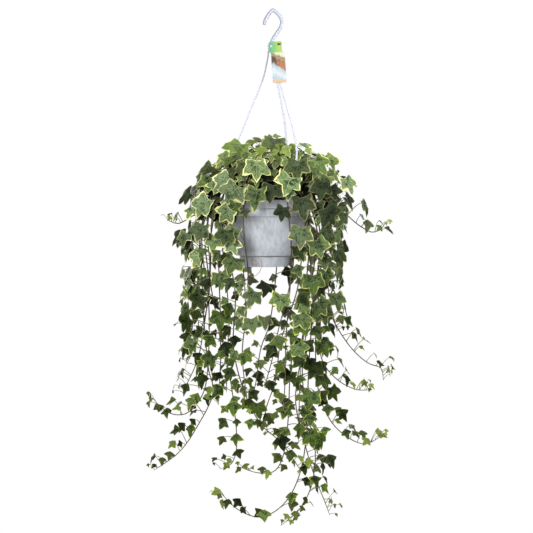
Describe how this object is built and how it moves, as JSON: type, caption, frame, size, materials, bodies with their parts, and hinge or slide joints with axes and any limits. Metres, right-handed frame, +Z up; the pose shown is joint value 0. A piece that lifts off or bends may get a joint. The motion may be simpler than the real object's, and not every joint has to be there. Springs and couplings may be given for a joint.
{
  "type": "potted english ivy",
  "caption": "Variegated English ivy with lobed leaves, trailing in two curtains from a round plastic pot on a three-strap hanger with a hook.",
  "frame": {"origin": "bight of the hook: the underside of its arch, where a bracket or ceiling hook carries the plant", "axes": "+Z up, -Y to the front, where the pot shows between the two curtains of stems, +X to the right"},
  "size_m": [0.3829, 0.2496, 0.8213],
  "materials": {
    "pot_plastic": "satin",
    "hanger_plastic": "satin",
    "label_card": "satin",
    "soil": "matte",
    "ivy": "satin"
  },
  "bodies": {
    "root": {"pot": "pot_plastic", "drip_saucer": "pot_plastic", "soil": "soil", "hanger_hook": "hanger_plastic", "hanger_strap_left": "hanger_plastic", "hanger_strap_front": "hanger_plastic", "hanger_strap_back": "hanger_plastic", "plant_label": "label_card", "trailing_stem_01": "ivy", "trailing_stem_02": "ivy", "trailing_stem_03": "ivy", "trailing_stem_04": "ivy", "trailing_stem_05": "ivy", "trailing_stem_06": "ivy", "trailing_stem_07": "ivy", "trailing_stem_08": "ivy", "trailing_stem_09": "ivy", "trailing_stem_10": "ivy", "trailing_stem_11": "ivy", "trailing_stem_12": "ivy", "trailing_stem_13": "ivy", "trailing_stem_14": "ivy", "trailing_stem_15": "ivy", "trailing_stem_16": "ivy", "trailing_stem_17": "ivy", "trailing_stem_18": "ivy", "trailing_stem_19": "ivy", "trailing_stem_20": "ivy", "trailing_stem_21": "ivy", "trailing_stem_22": "ivy", "trailing_stem_23": "ivy", "trailing_stem_24": "ivy", "trailing_stem_25": "ivy", "trailing_stem_26": "ivy", "trailing_stem_27": "ivy", "crown_stem_01": "ivy", "crown_stem_02": "ivy", "crown_stem_03": "ivy", "crown_stem_04": "ivy", "crown_stem_05": "ivy", "crown_stem_06": "ivy", "crown_stem_07": "ivy", "crown_stem_08": "ivy", "crown_stem_09": "ivy", "crown_stem_10": "ivy", "crown_stem_11": "ivy"}
  },
  "joints": []
}
